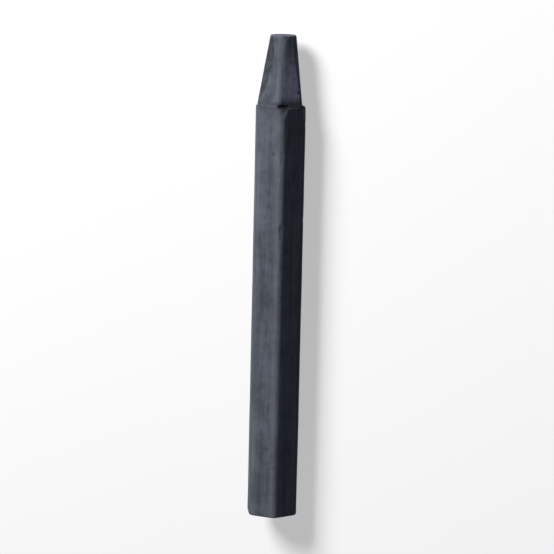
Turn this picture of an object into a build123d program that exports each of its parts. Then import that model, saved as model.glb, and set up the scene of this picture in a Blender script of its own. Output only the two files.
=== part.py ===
from build123d import *
import os
from math import cos, radians, tan

# One cast stick of marking wax: a hexagonal body with a blunt six-sided tip.
# It lies on one facet. Sizes are in millimetres and angles in degrees.
# +Y runs along the stick towards the tip, +Z is up, and the origin is under
# the middle of the stick, on the surface that it lies on.

# The whole stick
overall_length = 120.0
across_flats = 12.0
ridge_radius = 1.8
butt_edge_radius = 0.5

# The tip: its facets taper evenly and its ridges open out to a nearly round end
tip_length = 17.5
shoulder_ledge = 0.42
tip_base_ridge_radius = 1.0
tip_end_flats = 6.4
tip_end_facet_width = 0.8
tip_rim_radius = 0.5

# The tip was formed apart from the body, so it sits a little turned and leaning:
# its base is to one side of the stick's axis and its end is to the other
tip_turn = -5.0
tip_base_offset = -0.35
tip_end_offset = 0.3

# The tip's sides run on into the body by tip_root, so that the two join all round,
# and the tip stays in from the rounded edge of the shoulder by foot_margin
tip_root = 0.5
foot_margin = 0.04

# A notch across one ridge at the foot of the tip, facing notch_turn round from the
# facet on top. Its floor stands upright, a little further in than the tip's facets,
# and its mouth slopes out above that
notch_turn = 46.0
notch_inset = 0.1
notch_floor_height = 0.6
notch_mouth_height = 1.3

# Where the tip's mould ran on over the body, in line with the tip's base, it took
# a sloping nick out of the ridges that it met
nick_depth = 0.15
nick_slope = 7.0
shoulder_edge_radius = 0.2

hexagon_sides = 6
flat_to_ridge = 1 / cos(radians(180 / hexagon_sides))
shoulder_height = overall_length - tip_length
tip_base_flats = across_flats - 2 * shoulder_ledge
tip_end_ridge_radius = tip_end_flats / 2 - tip_end_facet_width / flat_to_ridge


def rounded_hexagon(flats, ridge_rounding):
    """A hexagon, flats wide between opposite sides, with its corners rounded."""
    sharp = RegularPolygon(flats / 2, hexagon_sides, major_radius=False)
    return fillet(sharp.vertices(), ridge_rounding)


def ridge_reach(flats, ridge_rounding):
    """How far a rounded ridge stands from the axis."""
    return (flats / 2 - ridge_rounding) * flat_to_ridge + ridge_rounding


def ridge_nicks():
    """A cone, wider lower down, that shaves the ridges just under the shoulder and misses the flats."""
    radius = ridge_reach(across_flats, ridge_radius) - nick_depth
    widening = 2 * (nick_depth + abs(tip_base_offset))
    drop = widening / tan(radians(nick_slope))
    corners = [
        (radius - widening, shoulder_height + drop),
        (radius + 2 * widening, shoulder_height + drop),
        (radius + 2 * widening, shoulder_height - drop),
        (radius + widening, shoulder_height - drop),
    ]
    outline = Plane.XZ * make_face(Polyline(*corners, close=True))
    return Pos(tip_base_offset, 0, 0) * revolve(outline, Axis.Z)


def stick_body():
    """The hexagonal stick up to its shoulder, with its ends eased."""
    body = extrude(rounded_hexagon(across_flats, ridge_radius), shoulder_height)
    butt_edges = body.faces().sort_by(Axis.Z).first.edges()
    body = fillet(butt_edges, butt_edge_radius)
    shoulder_edges = body.faces().sort_by(Axis.Z).last.edges()
    body = fillet(shoulder_edges, shoulder_edge_radius)
    return body - ridge_nicks()


def tip_outline(height):
    """The tip's outline at a height over the shoulder. Its sizes change evenly from base to end."""
    share = height / tip_length
    flats = tip_base_flats + (tip_end_flats - tip_base_flats) * share
    ridge_rounding = tip_base_ridge_radius + (tip_end_ridge_radius - tip_base_ridge_radius) * share
    offset = tip_base_offset + (tip_end_offset - tip_base_offset) * share
    return Pos(offset, 0, shoulder_height + height) * Rot(0, 0, tip_turn) * rounded_hexagon(flats, ridge_rounding)


def tip():
    """Six tapering facets between ridges that widen like slim cones."""
    solid = loft([tip_outline(-tip_root), tip_outline(tip_length)], ruled=True)
    rim = solid.faces().sort_by(Axis.Z).last.edges()
    return fillet(rim, tip_rim_radius)


def foot_notch():
    """The prism that cuts the notch out of the tip and its root, its upright floor facing notch_turn."""
    floor = tip_base_flats / 2 - notch_inset
    ridge = ridge_reach(tip_base_flats, tip_base_ridge_radius)
    corners = [
        (floor, -2 * tip_root),
        (2 * ridge - floor, -2 * tip_root),
        (2 * ridge - floor, 2 * notch_mouth_height - notch_floor_height),
        (floor, notch_floor_height),
    ]
    outline = Plane.XZ * make_face(Polyline(*corners, close=True))
    prism = extrude(outline, across_flats / 2, both=True)
    return Pos(tip_base_offset, 0, shoulder_height) * Rot(0, 0, notch_turn - 90) * prism


def shoulder_room():
    """The prism that the tip is kept inside, so that its foot lands on the flat of the shoulder."""
    inset = shoulder_edge_radius + foot_margin
    outline = rounded_hexagon(across_flats - 2 * inset, ridge_radius - inset)
    return Pos(0, 0, shoulder_height - tip_root) * extrude(outline, tip_root + tip_length)


def grease_chalk():
    """The whole stick, turned from standing on its butt to lying on a facet."""
    upright = stick_body() + (tip() & (shoulder_room() - foot_notch()))
    lying = Rot(-90, 0, 0) * upright
    return Pos(0, -overall_length / 2, across_flats / 2) * lying


os.makedirs("parts", exist_ok=True)
export_step(grease_chalk(), "parts/chalk_stick.step")
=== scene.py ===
"""A stick of black marking wax lying on a pale floor, looked down on at the photograph's angle.

The stick's surface is a grid in millimetres: the rows run from the middle of the butt to the middle of
the tip's end, and each row is a closed outline round the stick. Wear is taken off that surface, never added.
Bearings are in degrees round the stick, from straight up over to the +X side.
"""

import math
from itertools import product

import bpy
import numpy as np
from mathutils import Matrix, Vector


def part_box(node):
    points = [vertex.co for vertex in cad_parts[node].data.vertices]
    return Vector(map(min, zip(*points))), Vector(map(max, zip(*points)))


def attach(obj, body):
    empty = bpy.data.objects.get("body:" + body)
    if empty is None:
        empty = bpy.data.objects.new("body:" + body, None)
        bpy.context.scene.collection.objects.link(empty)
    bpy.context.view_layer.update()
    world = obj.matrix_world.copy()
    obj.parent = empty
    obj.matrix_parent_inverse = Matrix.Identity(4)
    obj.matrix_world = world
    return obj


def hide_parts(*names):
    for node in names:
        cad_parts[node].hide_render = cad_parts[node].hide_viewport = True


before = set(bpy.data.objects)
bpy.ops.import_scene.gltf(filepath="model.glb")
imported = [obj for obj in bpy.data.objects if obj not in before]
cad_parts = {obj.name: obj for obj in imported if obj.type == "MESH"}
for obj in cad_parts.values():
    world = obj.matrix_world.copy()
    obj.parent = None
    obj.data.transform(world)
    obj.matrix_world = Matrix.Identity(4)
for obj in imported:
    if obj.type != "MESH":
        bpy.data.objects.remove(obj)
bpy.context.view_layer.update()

MM = 0.001
stick_low, stick_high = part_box("chalk_stick")
LENGTH = (stick_high.y - stick_low.y) / MM
ACROSS_FLATS = (stick_high.z - stick_low.z) / MM
AXIS_HEIGHT = ACROSS_FLATS / 2
BUTT_Y = stick_low.y / MM

# The stick's form, with the values that the frame was made from
SIDES = 6
RIDGE_ROUNDING = 1.8
BUTT_EDGE = 0.5
TIP_LENGTH = 17.5
SHOULDER_LEDGE = 0.42
TIP_BASE_ROUNDING = 1.0
TIP_END_FLATS = 6.4
TIP_END_FACET = 0.8
TIP_RIM = 0.5
TIP_TURN = 5.0
TIP_BASE_OFFSET = -0.35
TIP_END_OFFSET = 0.3
FOOT_MARGIN = 0.04
NOTCH_BEARING = 46.0
NOTCH_INSET = 0.1
NOTCH_FLOOR = 0.6
NOTCH_MOUTH = 1.3
NICK_DEPTH = 0.15
NICK_SLOPE = 7.0
SHOULDER_EDGE = 0.2

HALF_SIDE = math.tan(math.pi / SIDES)
FLAT_TO_RIDGE = 1 / math.cos(math.pi / SIDES)
SHOULDER = LENGTH - TIP_LENGTH
TIP_BASE_FLATS = ACROSS_FLATS - 2 * SHOULDER_LEDGE
TIP_END_ROUNDING = TIP_END_FLATS / 2 - TIP_END_FACET / FLAT_TO_RIDGE

# How finely the surface is divided: steps across each flat, round each ridge, edge and rim, over
# the two ends, and in millimetres along the stick
FLAT_STEPS = 22
RIDGE_STEPS = 10
BUTT_STEPS = 12
BUTT_EDGE_STEPS = 5
SHOULDER_EDGE_STEPS = 4
LEDGE_SHARES = [0.1, 0.5, 0.94]
RIM_STEPS = 6
END_STEPS = 11
BODY_STEP = 0.34
FINE_STEP = 0.14
FINE_LENGTH = 4.0
TIP_STEP = 0.18
FOOT_STEP = 0.06
FOOT_LENGTH = 2.2

# Where one form is kept inside another, the corner between them is rounded off over this much. The tip's
# first row is as far over the shoulder, so rows above TIP_STARTS are the tip's
HOLD = 0.03
TIP_STARTS = SHOULDER + HOLD / 2

PAPER_WHITE = (0.94, 0.94, 0.94, 1)


def walk_round():
    """One walk round a hexagon, side by side, starting with the side that faces up.

    Returns the points of a sharp hexagon whose sides stand 1 from the axis, and the way that the
    surface faces there. Along a side the point moves and the facing stays. At a ridge the point
    stays in the corner and the facing turns by 60 degrees.
    """
    side = np.arange(SIDES)[:, None] * 2 * math.pi / SIDES + math.pi / 2
    along = np.concatenate([np.linspace(-1, 1, FLAT_STEPS + 1), np.ones(RIDGE_STEPS - 1)])
    turned = np.concatenate([np.zeros(FLAT_STEPS + 1), np.arange(1, RIDGE_STEPS) / RIDGE_STEPS])
    facing = (side + turned * 2 * math.pi / SIDES).ravel()
    flat = np.stack([np.cos(side), np.sin(side)], axis=-1)
    sideways = np.stack([-np.sin(side), np.cos(side)], axis=-1)
    corner = (flat + along[None, :, None] * HALF_SIDE * sideways).reshape(-1, 2)
    return corner, np.stack([np.cos(facing), np.sin(facing)], axis=-1)


CORNER, FACING = walk_round()
AROUND = len(CORNER)


def outlines(half_flats, rounding, turn=0.0, shift=0.0):
    """Rounded hexagons, one row each: a sharp hexagon, half_flats less rounding from the axis to its sides,
    plus rounding along the facing, turned about the axis and then shifted sideways."""
    half_flats, rounding, shift = np.broadcast_arrays(*np.atleast_1d(half_flats, rounding, shift))
    points = (half_flats - rounding)[:, None, None] * CORNER + rounding[:, None, None] * FACING
    cosine, sine = math.cos(math.radians(turn)), math.sin(math.radians(turn))
    x = points[..., 0] * cosine - points[..., 1] * sine + shift[:, None]
    z = points[..., 0] * sine + points[..., 1] * cosine
    return np.stack([x, z], axis=-1)


def steps(start, end, size):
    """Evenly spaced values from start to end, at most size apart."""
    return np.linspace(start, end, max(2, int(math.ceil(abs(end - start) / size)) + 1))


def quarter_turn(count):
    """The angles of a quarter round in a number of steps, both ends included."""
    return np.linspace(0, math.pi / 2, count + 1)


def soft_min(a, b, softness):
    """The smaller of a and b, with the change from one to the other rounded off over softness."""
    share = np.clip(0.5 + (b - a) / (2 * softness), 0, 1)
    return b + (a - b) * share - softness * share * (1 - share)


def body_rows():
    """The hexagonal body from the butt's middle to the shoulder's edge: outline points and heights.

    The butt's rows grow from nothing, its edge and the shoulder's are quarter rounds, and between
    them the outline stays the same."""
    half, rounding = ACROSS_FLATS / 2, RIDGE_ROUNDING
    inner = np.linspace(0, 1, BUTT_STEPS + 1)[1:-1]
    butt_angle = quarter_turn(BUTT_EDGE_STEPS)
    edge_angle = quarter_turn(SHOULDER_EDGE_STEPS)[1:]
    fine_start = SHOULDER - FINE_LENGTH
    straight = np.concatenate(
        [
            steps(BUTT_EDGE, fine_start, BODY_STEP)[1:],
            steps(fine_start, SHOULDER - SHOULDER_EDGE, FINE_STEP)[1:],
        ]
    )
    height = np.concatenate(
        [
            np.zeros(len(inner)),
            BUTT_EDGE * (1 - np.cos(butt_angle)),
            straight,
            SHOULDER - SHOULDER_EDGE * (1 - np.sin(edge_angle)),
        ]
    )
    inset = np.concatenate(
        [
            BUTT_EDGE * (1 - np.sin(butt_angle)),
            np.zeros(len(straight)),
            SHOULDER_EDGE * (1 - np.cos(edge_angle)),
        ]
    )
    points = np.concatenate(
        [
            outlines(inner * (half - BUTT_EDGE), inner * (rounding - BUTT_EDGE)),
            outlines(half - inset, rounding - inset),
        ]
    )
    return nicked(points, height), height


def nicked(points, height):
    """Each row kept inside a cone, in line with the tip's base and wider lower down, which shaves the
    ridges on one side over the last stretch below the shoulder."""
    reach = (ACROSS_FLATS / 2 - RIDGE_ROUNDING) * FLAT_TO_RIDGE + RIDGE_ROUNDING
    cone = reach - NICK_DEPTH + (SHOULDER - height) * math.tan(math.radians(NICK_SLOPE))
    return kept_inside(points, TIP_BASE_OFFSET, cone)


def kept_inside(points, centre, radius):
    """Each row kept inside a circle of its own radius about a point to one side of the axis."""
    middle = np.array([centre, 0])
    reach = np.linalg.norm(points - middle, axis=-1)
    kept = soft_min(reach, radius[:, None], HOLD)
    return middle + (points - middle) * (kept / np.maximum(reach, 1e-9))[..., None]


def tip_outlines(height):
    """The tip's outlines at given heights: its sizes change evenly from the base to the end, so the
    facets are flat and the ridges open out."""
    share = (height - SHOULDER) / TIP_LENGTH
    half = (TIP_BASE_FLATS + (TIP_END_FLATS - TIP_BASE_FLATS) * share) / 2
    rounding = TIP_BASE_ROUNDING + (TIP_END_ROUNDING - TIP_BASE_ROUNDING) * share
    return outlines(half, rounding, TIP_TURN, TIP_BASE_OFFSET + (TIP_END_OFFSET - TIP_BASE_OFFSET) * share)


def kept_on_shoulder(points):
    """Each row kept inside the flat of the shoulder: no point further out, in its own direction from the
    axis, than the body's outline less the rounding of its edge and a small margin."""
    inset = SHOULDER_EDGE + FOOT_MARGIN
    room = outlines(ACROSS_FLATS / 2 - inset, RIDGE_ROUNDING - inset)[0]
    angle = np.arctan2(room[:, 1], room[:, 0])
    order = np.argsort(angle)
    limit = np.interp(
        np.arctan2(points[..., 1], points[..., 0]),
        angle[order],
        np.linalg.norm(room, axis=-1)[order],
        period=2 * math.pi,
    )
    reach = np.linalg.norm(points, axis=-1)
    return points * (soft_min(reach, limit, HOLD) / reach)[..., None]


def notched(points, height):
    """Each row kept behind a notch across one ridge at the foot of the tip. The notch's floor stands
    upright, a little further in than the tip's facets, and its mouth slopes outwards above that."""
    turn = math.radians(NOTCH_BEARING)
    outward = np.array([math.sin(turn), math.cos(turn)])
    half = TIP_BASE_FLATS / 2
    floor = half - NOTCH_INSET
    ridge = (half - TIP_BASE_ROUNDING) * FLAT_TO_RIDGE + TIP_BASE_ROUNDING
    slope = (ridge - floor) / (NOTCH_MOUTH - NOTCH_FLOOR)
    limit = floor + slope * np.maximum(height - SHOULDER - NOTCH_FLOOR, 0)
    reach = (points - np.array([TIP_BASE_OFFSET, 0])) @ outward
    kept = soft_min(reach, limit[:, None], HOLD)
    return points + (kept - reach)[..., None] * outward


def tip_rows():
    """The tip from its foot to the middle of its end: outline points, heights and how deep the notch is.
    The rim is a quarter round, and the end's rows shrink to the middle."""
    rim_angle = quarter_turn(RIM_STEPS)[1:]
    inner = np.linspace(1, 0, END_STEPS + 1)[1:-1]
    foot_end = SHOULDER + FOOT_LENGTH
    foot = steps(SHOULDER + HOLD, foot_end, FOOT_STEP)
    side_height = np.concatenate([foot, steps(foot_end, LENGTH - TIP_RIM, TIP_STEP)[1:]])
    plain = kept_on_shoulder(tip_outlines(side_height))
    side = notched(plain, side_height)
    edge = side[-1]
    centre = edge.mean(axis=0)
    inward = (centre - edge) / np.linalg.norm(centre - edge, axis=-1, keepdims=True)
    rim = edge + (TIP_RIM * (1 - np.cos(rim_angle)))[:, None, None] * inward
    rim_height = LENGTH - TIP_RIM * (1 - np.sin(rim_angle))
    end = centre + (rim[-1] - centre) * inner[:, None, None]
    level = np.concatenate([side_height, rim_height, np.full(len(inner), LENGTH)])
    points = np.concatenate([side, rim, end])
    hollow = np.zeros(points.shape[:2])
    hollow[: len(side)] = np.linalg.norm(plain - side, axis=-1)
    return points, level, hollow


def stick_surface():
    """The whole new stick as a grid of points, rows first, and how deep the notch is at each. Between
    the body's last row and the tip's first, the ledge's rows lie at given shares of the way."""
    body, body_height = body_rows()
    tip, tip_height, tip_hollow = tip_rows()
    across = np.array(LEDGE_SHARES)[:, None]
    ledge = body[-1] + (tip[0] - body[-1]) * across[..., None]
    points = np.concatenate([body, ledge, tip])
    height = np.concatenate([body_height, np.full(len(ledge), SHOULDER), tip_height])
    hollow = np.concatenate([np.zeros(body.shape[:2]), tip_hollow[0] * across, tip_hollow])
    level = np.broadcast_to(height[:, None], hollow.shape)
    return np.stack([points[..., 0], level + BUTT_Y, points[..., 1] + AXIS_HEIGHT], axis=-1), hollow


def grid_normals(grid):
    """The way out of the surface at each point: the step along the stick crossed with the step round it."""
    round_step = np.roll(grid, -1, axis=1) - np.roll(grid, 1, axis=1)
    normal = np.cross(np.gradient(grid, axis=0), round_step)
    return normal / np.maximum(np.linalg.norm(normal, axis=-1, keepdims=True), 1e-12)


def unevenness(places, size, seed):
    """Smooth random values from -1 to 1. Lattice points one size apart have random values, and a place
    takes the values of the eight round it, each weighted by a smooth step of its nearness."""
    table = np.random.default_rng(seed).uniform(-1, 1, (48, 48, 48))
    scaled = places / np.asarray(size)
    cell = np.floor(scaled).astype(int)
    part = scaled - cell
    near = part * part * (3 - 2 * part)
    total = np.zeros(places.shape[:-1])
    for corner in product((0, 1), repeat=3):
        x, y, z = np.moveaxis((cell + corner) % len(table), -1, 0)
        total += np.prod(np.where(corner, near, 1 - near), axis=-1) * table[x, y, z]
    return total


def patches(places, size, seed, mean, swing):
    """Random patches from 0 to 1: the mean plus the swing times an unevenness, cut off at both ends."""
    return np.clip(mean + swing * unevenness(places, size, seed), 0, 1)


def bell(distance, width):
    """A bell curve: 1 at no distance, and e to the power of minus the square of distance over width."""
    return np.exp(-((distance / width) ** 2))


def facing_near(bearing):
    """For each column, the cosine of the angle between its facing and a bearing."""
    angle = math.radians(bearing)
    return FACING @ np.array([math.sin(angle), math.cos(angle)])


def facing_within(bearing, limit):
    """For each column, 0 where that cosine is under a limit, and evenly up to 1 where it is 0.05 over it."""
    return np.clip((facing_near(bearing) - limit) / 0.05, 0, 1)


def ridge_nearness():
    """For each column, 1 over the middle of a ridge, and evenly down to 0 a ridge's width from there."""
    side_steps = AROUND // SIDES
    turn = np.arange(AROUND) % side_steps
    from_ridge = abs(turn - FLAT_STEPS - RIDGE_STEPS / 2)
    from_ridge = np.minimum(from_ridge, side_steps - from_ridge)
    return np.clip((RIDGE_STEPS - from_ridge) / 6, 0, 1)


class Wear:
    """The stick's surface and what use has taken off it, with how much each point is paled by wear and
    painted highlight, darkened by marks and painted shade, and tinted by a painted bluish sheen.
    """

    def __init__(self, grid):
        self.new = grid
        self.points = grid.copy()
        self.normals = grid_normals(grid)
        self.level = grid[..., 1].mean(axis=1) - BUTT_Y
        self.worn_pale_and_highlight = np.zeros(grid.shape[:2])
        self.dark_marks_and_shade = np.zeros(grid.shape[:2])
        self.bluish_sheen = np.zeros(grid.shape[:2])

    def row(self, height):
        """The row nearest to a height above the butt."""
        return int(np.argmin(abs(self.level - height)))

    def column(self, bearing):
        """The column whose facing is nearest to a bearing."""
        return int(np.argmax(facing_near(bearing)))

    def spot(self, over_shoulder, bearing):
        """The row and column nearest to a height over the shoulder and a bearing."""
        return self.row(SHOULDER + over_shoulder), self.column(bearing)

    def sink(self, depth):
        """Moves every point inwards, square to the surface, by its own depth."""
        self.points = self.points - self.normals * depth[..., None]

    def rub(self, row, column, half_length, depth, paleness=1.0, darkening=0.0, across=False, rough=0.0):
        """Rubs a lens-shaped flat. It lies square to the new surface at one point and depth under it, and it
        bends up by a parabola, so that it leaves the surface half_length away, along the stick or
        across it. What stands outside it is moved back onto it, on the same side of the shoulder, and is
        marked to be painted pale and dark by the given shares, fully where more than a third or so of the
        depth is taken."""
        place, out = self.new[row, column], self.normals[row, column]
        sideways = self.new[row, (column + 1) % AROUND] - self.new[row, column - 1]
        sideways = sideways / np.linalg.norm(sideways)
        lengthways = sideways if across else np.cross(out, sideways)
        reach = 1.5 * half_length
        same_side = (self.level > TIP_STARTS) == (self.level[row] > TIP_STARTS)
        near = np.flatnonzero(same_side & (abs(self.level - self.level[row]) < reach + 0.5))
        offset = self.points[near] - place
        distance = offset @ lengthways
        mottle = unevenness(self.new[near], 0.9, row + column)
        height = depth * (1 - (distance / half_length) ** 2) + rough * mottle
        taken = np.maximum(offset @ out + height, 0) * (abs(distance) < reach)
        self.points[near] -= out * taken[..., None]
        full_mark = 0.03 + 0.3 * depth
        touched = np.clip(taken / full_mark, 0, 1) * (0.85 + 0.15 * mottle)
        self.worn_pale_and_highlight[near] = np.maximum(self.worn_pale_and_highlight[near], touched * paleness)
        self.dark_marks_and_shade[near] = np.maximum(self.dark_marks_and_shade[near], touched * darkening)

    def pit(self, row, column, radius, depth, darkening):
        """Presses a small hollow: depth times a bell curve of the distance from its middle. It paints shade
        in the hollow, darkest at its middle.
        """
        distance = np.linalg.norm(self.new - self.new[row, column], axis=-1)
        hollow = bell(distance, radius)
        self.sink(depth * hollow)
        # Shade painted into the hollow.
        self.dark_marks_and_shade = np.maximum(self.dark_marks_and_shade, hollow**2 * darkening)


def worn(grid, hollow):
    """The stick after casting, handling and some use, with painted highlights, sheen and shade on it. The
    body's and the tip's shares are 1 along their sides, and fade to 0 at the butt, at the tip's end and
    near the shoulder."""
    wear = Wear(grid)
    fade = 2.0
    from_end = LENGTH - wear.level
    over_shoulder = wear.level - SHOULDER
    body = (np.clip(-over_shoulder / fade, 0, 1) * np.clip(wear.level / BUTT_EDGE, 0, 1))[:, None]
    tip = (np.clip((over_shoulder - fade / 2) / fade, 0, 1) * np.clip(from_end / TIP_RIM, 0, 1))[:, None]
    cast_surface(wear, body, tip)
    worn_edges(wear)
    knocks(wear)
    painted_light_and_wear(wear, body, tip, hollow)
    return wear


def cast_surface(wear, body, tip):
    """Long shallow waves, drag lines along the body, soft lumps, and faint rings on the tip, each a
    random unevenness stretched along or across the stick."""
    mean_depth = 0.035
    waves = 0.032 * unevenness(wear.new, (4, 13, 4), 1)
    ripples = 0.014 * unevenness(wear.new, (1.8, 4, 1.8), 2)
    drag = 0.012 * unevenness(wear.new, (1.1, 24, 1.1), 3) * body
    lumps = 0.006 * unevenness(wear.new, 0.8, 4)
    rings = 0.012 * unevenness(wear.new, (5, 0.6, 5), 5) * tip
    wear.sink(np.maximum(mean_depth + waves + ripples + drag + lumps + rings, 0))


def worn_edges(wear):
    """Small flats side by side, at random spots and of random size, round the rim, shoulder and butt."""
    random = np.random.default_rng(11)
    # The height that is rubbed, how many flats, their half lengths and depths, and how pale they get
    edges = [
        (LENGTH - 0.3 * TIP_RIM, 46, (0.25, 0.8), (0.01, 0.09), 0.9),
        (SHOULDER - 0.3 * SHOULDER_EDGE, 54, (0.2, 0.7), (0.01, 0.05), 0.9),
        (0.3 * BUTT_EDGE, 26, (0.4, 1.3), (0.01, 0.10), 0.7),
    ]
    for height, count, lengths, depths, most in edges:
        row = wear.row(height)
        for column in random.integers(0, AROUND, count):
            half_length, depth = random.uniform(*lengths), random.uniform(*depths)
            paleness = most * random.uniform(0.3, 1)
            wear.rub(row, column, half_length, depth, paleness, across=True, rough=0.02)


def knocks(wear):
    """Single marks: worn flats on the tip's and the body's ridges, some painted pale as highlights and one
    as a reflection, some darkened, and small hollows with shade painted in them. The first ones are where
    the photograph shows them, and the others are at random."""
    random = np.random.default_rng(23)
    # A long flat on the tip's left ridge, darkened all over.
    wear.rub(*wear.spot(9.5, -26), 9.0, 0.64, paleness=0.0, darkening=0.9, rough=0.06)
    # A worn flat on the tip's ridge near bearing 30, painted pale as a highlight.
    wear.rub(*wear.spot(3.5, 30), 2.4, 0.05, paleness=0.7, rough=0.02)
    # Two flats on the body's ridge near bearing 30, darkened.
    wear.rub(*wear.spot(-12.3, 28), 2.0, 0.10, paleness=0.0, darkening=0.3, rough=0.04)
    wear.rub(*wear.spot(-30.0, 34), 2.4, 0.12, paleness=0.0, darkening=0.4, rough=0.05)
    wear.rub(*wear.spot(-0.05, -88), 3.0, 0.14, paleness=0.3, across=True, rough=0.03)
    # A worn flat on the body's ridge just under the shoulder, painted pale as a highlight.
    wear.rub(*wear.spot(-3.5, 27), 3.0, 0.04, paleness=0.6, rough=0.01)
    # A worn flat on the tip's ridge near bearing 88, painted pale as a reflection.
    wear.rub(*wear.spot(11.5, 88), 5.0, 0.10, paleness=1.0, rough=0.03)
    # Small hollows with shade painted dark inside them.
    shaded_pits = [(-0.8, 44, 0.45), (3.4, 74, 0.5), (TIP_LENGTH - 0.4, 47, 0.4), (TIP_LENGTH - 0.5, 66, 0.3)]
    for over_shoulder, bearing, radius in shaded_pits:
        wear.pit(*wear.spot(over_shoulder, bearing), radius, 0.12, 1.0)
    for ridge in range(SIDES):
        for height in random.uniform(4, SHOULDER - 4, 4):
            half_length, depth = random.uniform(0.8, 3.5), random.uniform(0.02, 0.09)
            column = wear.column(ridge * 360 / SIDES - 150 + random.uniform(-12, 12))
            wear.rub(wear.row(height), column, half_length, depth, random.uniform(0.3, 0.8), rough=0.03)
    # Random small hollows, each with a little shade painted inside.
    for height in random.uniform(3, LENGTH - 2, 34):
        column = int(random.integers(0, AROUND))
        radius, depth = random.uniform(0.25, 0.7), random.uniform(0.02, 0.08)
        wear.pit(wear.row(height), column, radius, depth, random.uniform(0.1, 0.6))


def painted_light_and_wear(wear, body, tip, hollow):
    """Where the wax is painted pale, bluish or dark, apart from single marks. The ridges are pale in patches,
    partly from wear and partly as a painted highlight, and one facet of the tip and the ridge beside it
    have a painted bluish sheen. Shade is painted in the notch, in a soft band at the tip's foot, on the
    shoulder's edge, most of it on the side away from the tip's worn ridge, and along one ridge of the body."""
    over_shoulder = (wear.level - SHOULDER)[:, None]
    patchy = patches(wear.new, (3, 9, 3), 31, 0.75, 0.6)
    # Pale in patches along every ridge: partly wear, partly a painted highlight.
    wear.worn_pale_and_highlight = np.maximum(wear.worn_pale_and_highlight, 0.4 * ridge_nearness() * patchy * np.maximum(body, tip))

    # A painted bluish sheen on the tip's facet towards bearing 75 and the ridge beside it.
    sheen = bell(over_shoulder - 5.5, 6.0) * facing_within(75, 0.90) * tip
    wear.bluish_sheen = sheen * patches(wear.new, 1.3, 37, 0.8, 0.4)

    # Painted shade in a soft band round the foot of the tip, over the corner at the shoulder.
    band = bell(over_shoulder - 1.0, 0.7) * patches(wear.new, 1.6, 41, 0.3, 0.5)
    # Painted shade on the shoulder's edge, which the lamp lights, strongest towards bearing 75.
    edge = bell(over_shoulder + 0.05, 0.26) * (0.4 + 0.8 * facing_near(75))
    edge = np.clip(edge * (1 + 0.5 * unevenness(wear.new, 2.5, 43)), 0, 1)
    # Painted shade along the body's ridge near bearing -38, toning down its light.
    left_ridge = 0.4 * facing_within(-38, 0.95) * patchy * body
    # Painted shade in the notch, darkest where it is deepest.
    in_notch = 0.7 * np.clip(hollow / 0.35, 0, 1) ** 2
    wear.dark_marks_and_shade = np.maximum.reduce([wear.dark_marks_and_shade, band, edge, left_ridge, in_notch])


def ring_faces(rows, around):
    """The four-sided faces between neighbouring rows of a grid that is closed round."""
    here = np.arange(around)
    beside = np.roll(here, -1)
    low = np.arange(rows - 1)[:, None] * around
    faces = np.stack([low + here, low + around + here, low + around + beside, low + beside], axis=-1)
    return faces.reshape(-1, 4).tolist()


def smooth_piece(name, vertices, faces):
    """A smooth-shaded mesh object, put into the scene."""
    mesh = bpy.data.meshes.new(name)
    mesh.from_pydata(vertices.tolist(), [], faces)
    mesh.polygons.foreach_set("use_smooth", np.ones(len(faces), dtype=bool))
    mesh.update()
    piece = bpy.data.objects.new(name, mesh)
    bpy.context.scene.collection.objects.link(piece)
    return piece


def closed_piece(name, grid):
    """A piece from a grid that is closed round, with a fan of triangles to the middle of each end."""
    rows, around = grid.shape[:2]
    vertices = np.concatenate([grid.reshape(-1, 3), [grid[0].mean(axis=0), grid[-1].mean(axis=0)]]) * MM
    here = np.arange(around)
    beside = np.roll(here, -1)
    last_row = (rows - 1) * around
    first_middle = np.full(around, rows * around)
    butt_fan = np.stack([here, beside, first_middle], axis=-1)
    end_fan = np.stack([last_row + beside, last_row + here, first_middle + 1], axis=-1)
    return smooth_piece(name, vertices, ring_faces(rows, around) + butt_fan.tolist() + end_fan.tolist())


def paint(piece, name, values):
    """Stores one value for each point of a closed grid on the piece, its ends taking their row's mean."""
    whole = np.concatenate([values.ravel(), [values[0].mean(), values[-1].mean()]])
    layer = piece.data.attributes.new(name, "FLOAT", "POINT")
    layer.data.foreach_set("value", whole.astype(np.float32))


class Socket:
    """A node's output, which takes part in sums with numbers and other outputs."""

    def __init__(self, shader, output):
        self.shader = shader
        self.output = output

    def maths(self, operation, first, second):
        return self.shader.node("Math", {"operation": operation}, [first, second])

    def __add__(self, other):
        return self.maths("ADD", self, other)

    def __sub__(self, other):
        return self.maths("SUBTRACT", self, other)

    def __rsub__(self, other):
        return self.maths("SUBTRACT", other, self)

    def __mul__(self, other):
        return self.maths("MULTIPLY", self, other)

    __radd__ = __add__
    __rmul__ = __mul__


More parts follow.
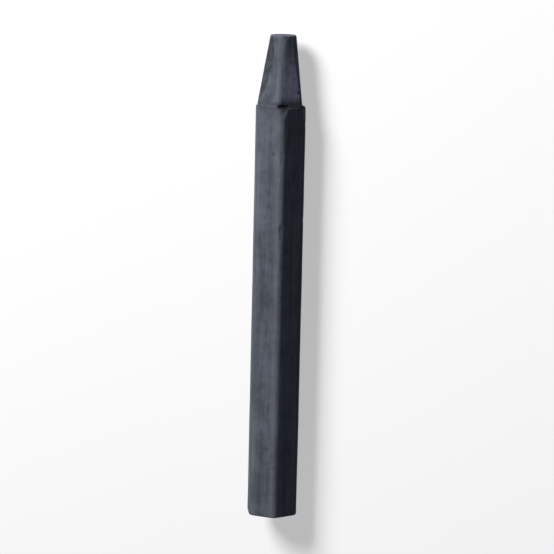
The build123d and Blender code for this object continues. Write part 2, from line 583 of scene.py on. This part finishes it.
class Shader:
    """A material or the world, built node by node."""

    def __init__(self, owner):
        owner.use_nodes = True
        self.owner = owner
        self.tree = owner.node_tree
        self.tree.nodes.clear()

    def node(self, kind, settings=None, inputs=(), output=0):
        """Adds a node, first its settings and then its sockets, and gives one of its outputs."""
        made = self.tree.nodes.new("ShaderNode" + kind)
        for name, value in (settings or {}).items():
            setattr(made, name, value)
        for key, value in inputs.items() if isinstance(inputs, dict) else enumerate(inputs):
            if isinstance(value, Socket):
                self.tree.links.new(value.output, made.inputs[key])
            else:
                made.inputs[key].default_value = value
        return Socket(self, made.outputs[output] if made.outputs else None)

    def stretch(self, value, low, high, to_low=0.0, to_high=1.0):
        """The value's range from low to high spread smoothly from to_low to to_high."""
        settings = {"interpolation_type": "SMOOTHSTEP"}
        return self.node("MapRange", settings, [value, low, high, to_low, to_high])

    def blend(self, factor, first, second):
        """The first colour where the factor is 0 and the second where it is 1. The Mix node's sockets
        for colours share their names with others, so they go by number."""
        settings = {"data_type": "RGBA"}
        return self.node("Mix", settings, {0: factor, 6: first, 7: second}, output=2)

    def largest(self, first, second):
        return self.node("Math", {"operation": "MAXIMUM"}, [first, second])


def grey(level, warmth=0.0):
    """A colour of one lightness, towards blue where warmth is below 0."""
    return (level * (1 + warmth), level, level * (1 - 2 * warmth), 1)


def black_wax():
    """Satin black wax: cloudy, streaked lengthwise, paler where it is worn and where a highlight is painted,
    bluish where a sheen is painted, darker at marks and where shade is painted. Its patterns are laid out
    in millimetres, some of them drawn out along the stick."""
    dark, light = grey(0.058, -0.11), grey(0.122, -0.11)
    # A pale for wear and painted highlights, and a near black for dark marks and painted shade.
    pale_wear_and_highlight_colour, mark_and_shade_dark = grey(0.17, -0.07), grey(0.020, -0.07)
    # A painted bluish sheen.
    painted_sheen_colour = (0.25, 0.25, 0.34, 1)

    wax = Shader(bpy.data.materials.new("black_wax_cast"))
    place = wax.node("TexCoord", output="Object")
    even = wax.node("Mapping", inputs={"Vector": place, "Scale": (1000, 1000, 1000)})
    along = wax.node("Mapping", inputs={"Vector": place, "Scale": (1000, 60, 1000)})
    clouds = wax.node("TexNoise", inputs={"Vector": even, "Scale": 0.10, "Detail": 3.0})
    blotches = wax.node("TexNoise", inputs={"Vector": even, "Scale": 0.45, "Detail": 4.0})
    bands = wax.node("TexNoise", inputs={"Vector": along, "Scale": 0.7, "Detail": 2.0, "Distortion": 0.6})
    streaks = wax.node("TexNoise", inputs={"Vector": along, "Scale": 2.2, "Detail": 3.0})
    grain = wax.node("TexNoise", inputs={"Vector": even, "Scale": 2.6, "Detail": 3.0})
    worn_pale_and_highlight = wax.node("Attribute", {"attribute_name": "worn_pale_and_highlight"}, output="Fac")
    dark_marks_and_shade = wax.node("Attribute", {"attribute_name": "dark_marks_and_shade"}, output="Fac")
    bluish_sheen = wax.node("Attribute", {"attribute_name": "bluish_sheen"}, output="Fac")

    mottle = (clouds + blotches * 0.8 + bands * 0.8 + streaks * 0.4 + grain * 0.2) * (1 / 3.2)
    colour = wax.blend(wax.stretch(mottle, 0.36, 0.64), dark, light)
    # Paler where worn and where a highlight is painted.
    colour = wax.blend(worn_pale_and_highlight * wax.stretch(grain, 0.3, 0.6, 0.4, 1.0), colour, pale_wear_and_highlight_colour)
    # The painted bluish sheen.
    colour = wax.blend(bluish_sheen, colour, painted_sheen_colour)
    # Darker at marks and where shade is painted.
    colour = wax.blend(dark_marks_and_shade * wax.stretch(blotches, 0.35, 0.65, 0.8, 1.0), colour, mark_and_shade_dark)
    roughness = 0.66 + (blotches - 0.5) * 0.3 - worn_pale_and_highlight * 0.08 + dark_marks_and_shade * 0.12
    relief = grain * 0.03 + streaks * 0.05 + blotches * 0.05
    bump = wax.node("Bump", inputs={"Strength": 0.6, "Distance": MM, "Height": relief})
    finish = {"Roughness": roughness, "IOR": 1.42, "Specular IOR Level": 0.12}
    surface = wax.node("BsdfPrincipled", inputs={"Base Color": colour, "Normal": bump, **finish})
    wax.node("OutputMaterial", inputs={"Surface": surface})
    return wax.owner


def studio_floor():
    """A pale disc, just under the stick, that curves up at its far edge: a height that is 0 near the
    middle and then grows with the square of the distance past the flat part."""
    hub, flat, edge, rise = 0.02, 2.0, 4.0, 0.9
    gap = 0.02 * MM
    radius = np.concatenate([np.linspace(hub, flat, 12), np.linspace(flat, edge, 14)[1:]])
    height = rise * (np.maximum(radius - flat, 0) / (edge - flat)) ** 2 - gap
    angle = np.linspace(0, 2 * math.pi, 97)[:-1]
    ring = np.stack([np.cos(angle), np.sin(angle)], axis=-1)
    flat_points = radius[:, None, None] * ring
    level = np.broadcast_to(height[:, None, None], (*flat_points.shape[:2], 1))
    grid = np.concatenate([flat_points, level], axis=-1)
    hub_face = list(range(len(angle)))
    floor = smooth_piece("studio_floor", grid.reshape(-1, 3), ring_faces(*grid.shape[:2]) + [hub_face])
    floor.data.materials.append(pale_floor())


def pale_floor():
    """White paper for the eye and in reflections, duller for the light that it throws back on the stick.
    Near the stick, half of the white that is seen is the paper's own, so that the shadow stays pale.
    Far from it, where no shadow falls, all of it is."""
    paper = Shader(bpy.data.materials.new("pale_floor"))
    camera_ray = paper.node("LightPath", output="Is Camera Ray")
    glossy_ray = paper.node("LightPath", output="Is Glossy Ray")
    transmission_ray = paper.node("LightPath", output="Is Transmission Ray")
    seen = paper.largest(paper.largest(camera_ray, glossy_ray), transmission_ray)
    place = paper.node("TexCoord", output="Object")
    distance = paper.node("VectorMath", {"operation": "LENGTH"}, [place], output="Value")
    far = paper.stretch(distance, 0.25, 0.9)
    colour = paper.blend(seen, (0.085, 0.095, 0.15, 1), PAPER_WHITE)
    lit = {"Base Color": colour, "Roughness": 0.9, "Specular IOR Level": 0.0}
    lit_shader = paper.node("BsdfPrincipled", inputs=lit)
    white_shader = paper.node("Emission", inputs={"Color": PAPER_WHITE, "Strength": 1.0})
    own_white = 0.5 + far * 0.5
    surface = paper.node("MixShader", inputs=[seen * own_white, lit_shader, white_shader])
    paper.node("OutputMaterial", inputs={"Surface": surface})
    return paper.owner


def pointed(place, target, roll=0.0):
    """A placement that looks from place to target with +Y up in the view, rolled by some degrees."""
    back = (place - target).normalized()
    right = Vector((0, 1, 0)).cross(back).normalized()
    up = back.cross(right)
    turn = Matrix((right, up, back)).transposed() @ Matrix.Rotation(math.radians(roll), 3, "Z")
    return Matrix.Translation(place) @ turn.to_4x4()


def lamp(name, direction, size, power, colour):
    """A round soft lamp that shines on the middle of the stick from a direction, 1 m away."""
    data = bpy.data.lights.new(name, "AREA")
    data.shape = "DISK"
    data.size = size
    data.energy = power
    data.color = colour
    light = bpy.data.objects.new(name, data)
    light.matrix_world = pointed(Vector(direction).normalized(), Vector((0, 0, 0)))
    bpy.context.scene.collection.objects.link(light)


def studio_light():
    """A soft lamp beyond the tip, a weak one that lifts the butt, and a faint blue light all round."""
    lamp("key_lamp", (-0.38, 0.67, 0.64), 0.45, 16.5, (1.0, 0.99, 1.0))
    lamp("butt_lamp", (0.0, -1.0, 0.06), 0.4, 3.5, (0.95, 0.97, 1.0))
    world = Shader(bpy.data.worlds.new("studio"))
    background = world.node("Background", inputs={"Color": (0.52, 0.68, 1.0, 1), "Strength": 0.03})
    world.node("OutputWorld", inputs={"Surface": background})
    bpy.context.scene.world = world.owner
    bpy.context.scene.view_settings.view_transform = "Standard"


def studio_camera():
    """A camera that looks down on the stick, 25 degrees over to its +X side and 10 degrees to its tip."""
    camera = bpy.data.objects.new("camera", bpy.data.cameras.new("camera"))
    camera.data.lens = 170
    camera.data.sensor_width = 36
    camera.data.clip_start = 0.01
    stick_middle = Vector((0, 0, 0.006))
    camera.matrix_world = pointed(Vector((0.276, 0.110, 0.582)), stick_middle, roll=1.3)
    bpy.context.scene.collection.objects.link(camera)
    bpy.context.scene.camera = camera


surface, hollow = stick_surface()
wear = worn(surface, hollow)
stick = closed_piece("wax_stick", wear.points)
paint(stick, "worn_pale_and_highlight", wear.worn_pale_and_highlight)
paint(stick, "dark_marks_and_shade", wear.dark_marks_and_shade)
paint(stick, "bluish_sheen", wear.bluish_sheen)
stick.data.materials.append(black_wax())
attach(stick, "root")
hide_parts("chalk_stick")

studio_floor()
studio_light()
studio_camera()
